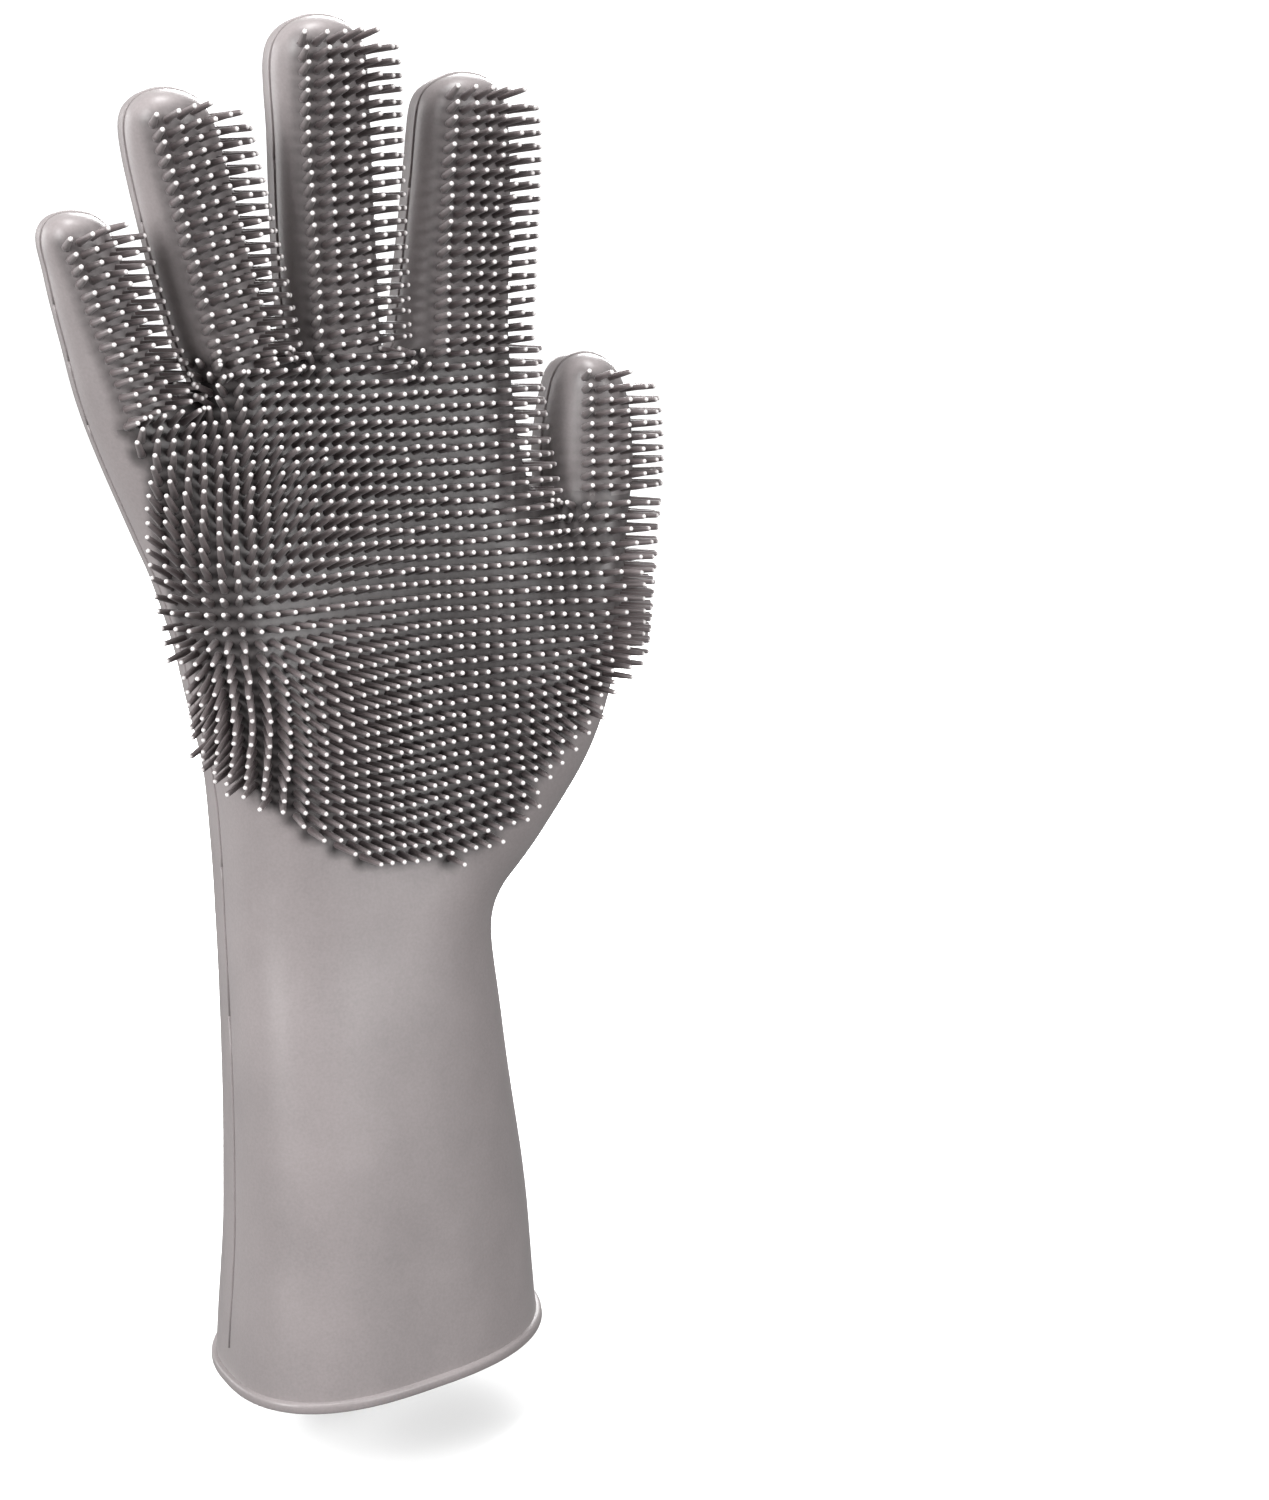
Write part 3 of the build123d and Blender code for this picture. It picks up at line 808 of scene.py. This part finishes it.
bead = [(-2.2, 0.0), (0.75, 0.0), (1.15, 0.2), (1.3, 0.6), (1.3, 2.0), (1.15, 2.5), (0.8, 2.75), (-0.4, 2.85), (-2.2, 2.8), (-2.4, 2.2), (-2.4, 0.8)]
V1, F1 = collar(bead)
o = mesh_object("rim", V1, F1)
o.data.materials.append(SKIN)
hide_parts("rim_bead")
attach(o, "cuff")

# hanging tab ---------------------------------------------------------------------------------------------------------------
lo_c, hi_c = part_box("hanging_tab")
TX = (lo_c.x + hi_c.x) / 2 * 1000
TDROP = -lo_c.z * 1000
HOLE_Z, HOLE_R, TIP_R, TT = -TDROP + 8.0, 3.5, 6.0, 2.6
rim_pts, _ = section(0.5, 720)
back_pts = rim_pts[rim_pts[:, 1] > 0]
order = np.argsort(back_pts[:, 0])
back_x, back_y = back_pts[order, 0], back_pts[order, 1]


def wall_y(x):
    return np.interp(x, back_x, back_y) - 1.1


outer = []
for t in np.linspace(0, 1, 14)[:-1]:      # concave flank down to the rounded tip, thumb side
    x = 15.5 + (5.6 - 15.5) * (1 - (1 - t) ** 1.7)
    z = 0.6 + (HOLE_Z + 1.0 - 0.6) * t ** 1.12
    outer.append((x, z))
a0 = math.radians(14)
for t in np.linspace(0, 1, 25):
    a = a0 + t * (-math.pi - 2 * a0)
    outer.append((TIP_R * math.cos(a), HOLE_Z - 2.0 + TIP_R * math.sin(a)))
for x, z in outer[:13][::-1]:
    outer.append((-x, z))
outer = np.array(outer)
import bmesh
bm = bmesh.new()
hole = np.array([(HOLE_R * math.cos(a), HOLE_Z + HOLE_R * math.sin(a)) for a in np.linspace(0, 2 * math.pi, 33)[:-1]])


def loop_edges(bm, pts):
    vs = [bm.verts.new((x, 0, z)) for x, z in pts]
    return [bm.edges.new((vs[i], vs[(i + 1) % len(vs)])) for i in range(len(vs))]


edges = loop_edges(bm, outer) + loop_edges(bm, hole)
bmesh.ops.triangle_fill(bm, use_beauty=True, edges=edges)
bmesh.ops.subdivide_edges(bm, edges=[e for e in bm.edges if e.calc_length() > 5.0], cuts=2)
bmesh.ops.triangulate(bm, faces=bm.faces[:])
ex = bmesh.ops.extrude_face_region(bm, geom=bm.faces[:])
for v in [g for g in ex["geom"] if isinstance(g, bmesh.types.BMVert)]:
    v.co.y -= TT
bmesh.ops.recalc_face_normals(bm, faces=bm.faces[:])
for v in bm.verts:
    v.co.y += TT / 2 + float(wall_y(TX + v.co.x))
    v.co.x += TX
for v in bm.verts:
    v.co /= 1000
me = bpy.data.meshes.new("tab_plate")
bm.to_mesh(me)
bm.free()
tab = bpy.data.objects.new("tab_plate", me)
bpy.context.collection.objects.link(tab)
bev = tab.modifiers.new("edge", "BEVEL")
bev.width, bev.segments, bev.limit_method, bev.angle_limit = 0.0005, 2, "ANGLE", math.radians(50)
tab.data.materials.append(SKIN)
made.append(tab)
ring_pts = np.array([(x, z) for x, z in outer[1:-1]])
border = np.stack([TX + ring_pts[:, 0] * 0.93, wall_y(TX + ring_pts[:, 0]) + TT / 2, ring_pts[:, 1] + 0.5], 1)
V1, F1 = tube(border, 0.55, 8)
hole_ring = np.array([(TX + (HOLE_R + 0.9) * math.cos(a), 0, HOLE_Z + (HOLE_R + 0.9) * math.sin(a)) for a in np.linspace(0, 2 * math.pi, 41)[:-1]])
hole_ring[:, 1] = wall_y(hole_ring[:, 0]) + TT / 2
V2, F2 = tube(hole_ring, 0.6, 8, closed=True)
o = mesh_object("tab_border", np.vstack([V1, V2]), F1 + [f + len(V1) for f in F2])
o.data.materials.append(SKIN)
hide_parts("hanging_tab", "tab_neck")
for t in (tab, o):
    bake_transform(t)

# ---- camera, light, floor -----------------------------------------------------------------------------------------------
cam_data = bpy.data.cameras.new("camera")
cam = bpy.data.objects.new("camera", cam_data)
bpy.context.collection.objects.link(cam)
cam_data.lens = 2783.0 / 1500.0 * 36.0
cam_data.sensor_width = 36.0
cam_data.sensor_fit = "AUTO"
cam_data.clip_start, cam_data.clip_end = 0.05, 20.0
fwd = Vector((0.45382641, 0.85775748, -0.24144085)).normalized()
right_v = fwd.cross(Vector((0, 0, 1))).normalized()
up_v = right_v.cross(fwd)
cam.matrix_world = Matrix(((right_v.x, up_v.x, -fwd.x, -0.2648039), (right_v.y, up_v.y, -fwd.y, -0.6504625),
                           (right_v.z, up_v.z, -fwd.z, 0.3369648), (0, 0, 0, 1)))
bpy.context.scene.camera = cam
bpy.context.scene.view_settings.view_transform = "Standard"

floor_z = -0.0245
bm = bmesh.new()
w = 3.0
prof_s = [(-3.0, 0.0), (0.0, 0.0), (3.0, 0.0)]
rows = [[bm.verts.new((x, y, floor_z + z)) for x in (-w, w)] for y, z in prof_s]
for r0_, r1_ in zip(rows[:-1], rows[1:]):
    bm.faces.new((r0_[0], r0_[1], r1_[1], r1_[0]))
me = bpy.data.meshes.new("studio_floor")
bm.to_mesh(me)
bm.free()
for poly in me.polygons:
    poly.use_smooth = True
floor = bpy.data.objects.new("studio_floor", me)
bpy.context.collection.objects.link(floor)
fm = bpy.data.materials.new("floor_paper_painted_glow")
fm.use_nodes = True
fm.node_tree.nodes["Principled BSDF"].inputs["Base Color"].default_value = (0.93, 0.93, 0.93, 1)
fm.node_tree.nodes["Principled BSDF"].inputs["Roughness"].default_value = 0.9
fm.node_tree.nodes["Principled BSDF"].inputs["Specular IOR Level"].default_value = 0.1
fm.node_tree.nodes["Principled BSDF"].inputs["Emission Color"].default_value = (1, 1, 1, 1)
ft = node(fm.node_tree, "ShaderNodeTexCoord")
fl = node(fm.node_tree, "ShaderNodeVectorMath", operation="LENGTH")
fm.node_tree.links.new(ft.outputs["Object"], fl.inputs[0])
# Painted light: the floor glows, faint near the centre and full white from about half a metre out, so it is darker
# under the glove where the cast shadow falls.
fr = node(fm.node_tree, "ShaderNodeMapRange", interpolation_type="SMOOTHSTEP")
fr.inputs["From Min"].default_value, fr.inputs["From Max"].default_value = 0.14, 0.48
fr.inputs["To Min"].default_value, fr.inputs["To Max"].default_value = 0.08, 1.0
fm.node_tree.links.new(fl.outputs["Value"], fr.inputs["Value"])
fm.node_tree.links.new(fr.outputs["Result"], fm.node_tree.nodes["Principled BSDF"].inputs["Emission Strength"])
me.materials.append(fm)
floor.visible_diffuse = False
floor.visible_glossy = False

# pale surround, seen by the camera only, so that every side has the same plain ground
bm = bmesh.new()
ring_z = [(2.9 * math.cos(a), 2.9 * math.sin(a) - 0.3) for a in np.linspace(-0.1, math.pi / 2 - 0.02, 12)]
loops = [[bm.verts.new((r * math.cos(t), r * math.sin(t), z)) for t in np.linspace(0, 2 * math.pi, 49)[:-1]] for r, z in ring_z]
for r0_, r1_ in zip(loops[:-1], loops[1:]):
    for i in range(48):
        bm.faces.new((r0_[i], r0_[(i + 1) % 48], r1_[(i + 1) % 48], r1_[i]))
bm.faces.new(loops[-1])
me = bpy.data.meshes.new("studio_surround")
bm.to_mesh(me)
bm.free()
surround = bpy.data.objects.new("studio_surround", me)
bpy.context.collection.objects.link(surround)
sm = bpy.data.materials.new("surround_paper")
sm.use_nodes = True
sm.node_tree.nodes["Principled BSDF"].inputs["Base Color"].default_value = (0.9, 0.9, 0.9, 1)
sm.node_tree.nodes["Principled BSDF"].inputs["Emission Color"].default_value = (1, 1, 1, 1)
sm.node_tree.nodes["Principled BSDF"].inputs["Emission Strength"].default_value = 1.0
me.materials.append(sm)
surround.visible_diffuse = False
surround.visible_glossy = False
surround.visible_shadow = False

world = bpy.data.worlds.new("studio")
bpy.context.scene.world = world
world.use_nodes = True
world.node_tree.nodes["Background"].inputs["Color"].default_value = (1, 1, 1, 1)
world.node_tree.nodes["Background"].inputs["Strength"].default_value = 0.17


def area(name, loc, target, size, power, size_y=None):
    d = bpy.data.lights.new(name, "AREA")
    d.energy, d.size = power, size
    if size_y:
        d.shape, d.size_y = "RECTANGLE", size_y
    o = bpy.data.objects.new(name, d)
    bpy.context.collection.objects.link(o)
    o.location = loc
    o.rotation_euler = (Vector(target) - Vector(loc)).to_track_quat("-Z", "Y").to_euler()
    return o


area("key", (-1.05, -0.45, 0.58), (0, 0, 0.17), 0.45, 21.0, 0.8)
area("top", (-0.05, -0.12, 1.25), (0, 0, 0.0), 0.30, 11.0)
area("fill", (0.50, -1.08, 0.45), (0, 0, 0.17), 0.6, 14.0)
area("back_key", (0.55, 0.95, 0.65), (0, 0, 0.17), 0.5, 19.0, 0.9)
area("back_fill", (-0.75, 0.80, 0.30), (0, 0, 0.17), 0.6, 6.0)

print("PIECES", len(made), "faces", sum(len(o.data.polygons) for o in made))
